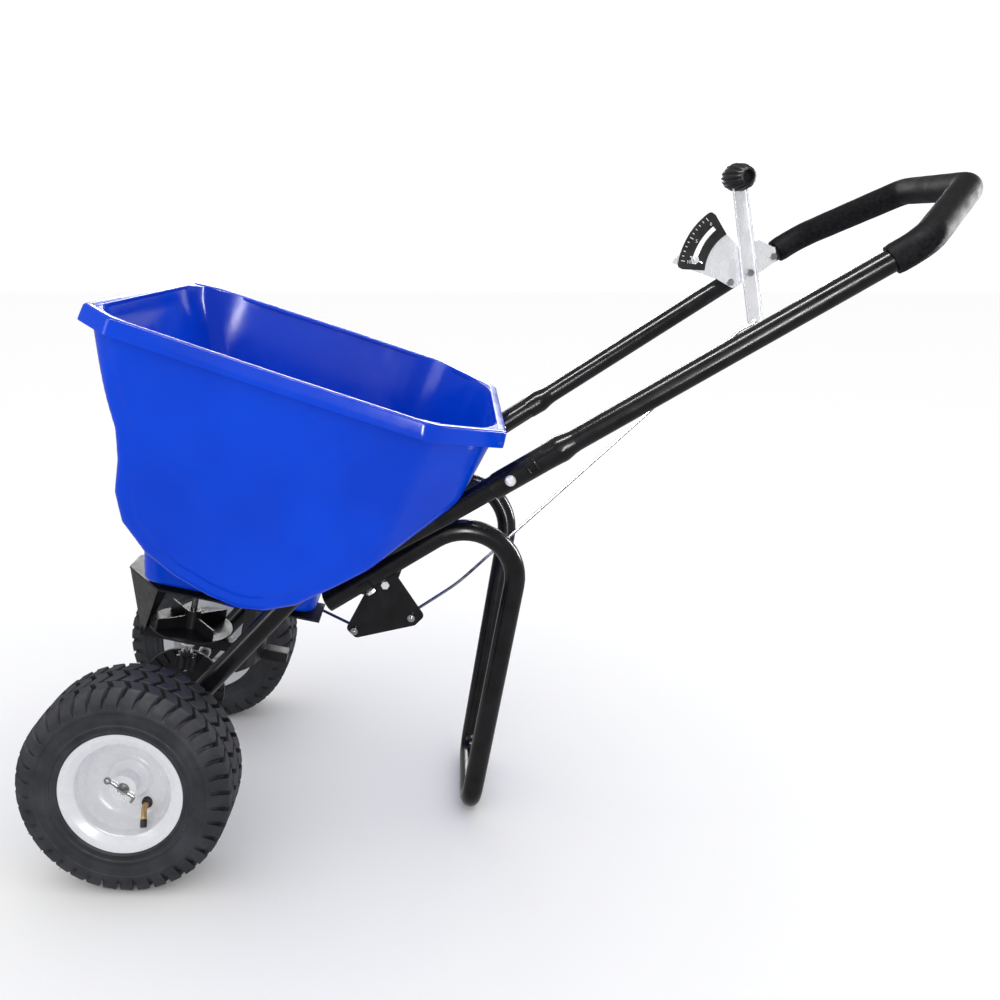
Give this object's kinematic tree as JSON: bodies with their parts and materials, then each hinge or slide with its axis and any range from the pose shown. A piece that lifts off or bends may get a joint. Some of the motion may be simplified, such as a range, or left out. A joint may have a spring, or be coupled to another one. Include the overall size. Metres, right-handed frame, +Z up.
{
  "type": "broadcast spreader",
  "caption": "Walk-behind garden spreader: blue tub hopper on a black tube frame with stand, pneumatic wheels, geared impeller, and a hand lever that works the gate through rods.",
  "frame": {"origin": "middle of the footprint of the whole object, on the ground it stands on", "axes": "+X from the wheels back to the handle, +Y to the spreader's own right (the lever's side), +Z up"},
  "size_m": [1.4708, 0.689, 1.1213],
  "materials": {
    "blue_poly": "gloss",
    "black_paint": "gloss",
    "black_plastic": "satin",
    "zinc": "zinc plated, satin",
    "white_paint": "gloss",
    "tyre_rubber": "matt",
    "foam": "matt closed-cell foam",
    "nylon": "satin",
    "brass": "satin"
  },
  "bodies": {
    "frame": {"hopper": "blue_poly", "impeller_guard": "black_plastic", "shaft_bearing": "nylon", "left_frame_tube": "black_paint", "left_axle_bushing": "nylon", "left_handle_bolt": "zinc", "left_saddle_bracket": "black_paint", "left_stand_bolt": "zinc", "right_frame_tube": "black_paint", "right_axle_bushing": "nylon", "right_handle_bolt": "zinc", "right_saddle_bracket": "black_paint", "right_stand_bolt": "zinc", "stand": "black_paint", "handle_tube": "black_paint", "foam_grip": "foam", "crank_bracket": "black_paint", "crank_pivot_bolt": "zinc", "lever_bracket": "zinc", "scale_plate": "black_plastic", "lever_pivot_bolt": "zinc", "lower_bracket_bolt": "zinc", "upper_bracket_bolt": "zinc"},
    "axle_and_drive_wheel": {"axle": "zinc", "drive_gear": "black_plastic", "gear_pin": "zinc", "left_cotter_pin": "zinc", "right_cotter_pin": "zinc", "left_axle_washer": "zinc", "right_axle_washer": "zinc", "right_rim": "white_paint", "right_tyre": "tyre_rubber", "right_hub_bushing": "nylon", "right_valve_stem": "brass", "right_valve_cap": "black_plastic"},
    "free_wheel": {"left_rim": "white_paint", "left_tyre": "tyre_rubber", "left_hub_bushing": "nylon", "left_valve_stem": "brass", "left_valve_cap": "black_plastic"},
    "impeller_unit": {"impeller_shaft": "zinc", "pinion": "black_plastic", "impeller": "black_plastic", "agitator_pin": "zinc"},
    "lever": {"control_lever": "zinc", "lever_knob": "black_plastic"},
    "crank": {"bell_crank": "black_paint"},
    "long_rod": {"control_rod": "zinc", "rear_hairpin_clip": "zinc"},
    "short_rod": {"gate_rod": "zinc", "front_hairpin_clip": "zinc"},
    "gate": {"shutoff_gate": "zinc"},
    "stop": {"stop_wing_nut": "zinc"}
  },
  "joints": [
    {"name": "axle_spin", "type": "hinge", "parent": "frame", "child": "axle_and_drive_wheel", "pos_m": [-0.57075, 0, 0.165], "axis": [0, 1, 0], "continuous": true},
    {"name": "free_wheel_spin", "type": "hinge", "parent": "axle_and_drive_wheel", "child": "free_wheel", "pos_m": [-0.57075, -0.275, 0.165], "axis": [0, 1, 0], "continuous": true},
    {"name": "impeller_spin", "type": "hinge", "parent": "frame", "child": "impeller_unit", "pos_m": [-0.57075, 0, 0.165], "axis": [0.1908, 0, 0.9816], "continuous": true},
    {"name": "lever_swing", "type": "hinge", "parent": "frame", "child": "lever", "pos_m": [0.48225, 0.2346, 0.917], "axis": [0.116, -0.9933, 0], "range_deg": [0, 30]},
    {"name": "crank_turn", "type": "hinge", "parent": "frame", "child": "crank", "pos_m": [-0.18475, -0.13, 0.426], "axis": [0, -1, 0], "range_deg": [0, 41.6]},
    {"name": "long_rod_pivot", "type": "hinge", "parent": "crank", "child": "long_rod", "pos_m": [-0.14275, -0.13, 0.369], "axis": [0, -1, 0], "range_deg": [-43.6, 0]},
    {"name": "short_rod_pivot", "type": "hinge", "parent": "crank", "child": "short_rod", "pos_m": [-0.23675, -0.13, 0.345], "axis": [0, -1, 0], "range_deg": [-41.6, 0]},
    {"name": "gate_slide", "type": "slide", "parent": "frame", "child": "gate", "axis": [0.9816, 0, -0.1908], "range_m": [0, 0.0685]},
    {"name": "stop_set", "type": "hinge", "parent": "frame", "child": "stop", "pos_m": [0.48225, 0.2346, 0.917], "axis": [0.116, -0.9933, 0], "range_deg": [-14, 0]}
  ],
  "couplings": [
    {"joint": "impeller_spin", "follows": "axle_spin", "ratio": -4},
    {"joint": "crank_turn", "follows": "lever_swing", "ratio": 1.385},
    {"joint": "long_rod_pivot", "follows": "lever_swing", "ratio": -1.449},
    {"joint": "short_rod_pivot", "follows": "lever_swing", "ratio": -1.385},
    {"joint": "gate_slide", "follows": "lever_swing", "m_per_rad": 0.1304}
  ]
}
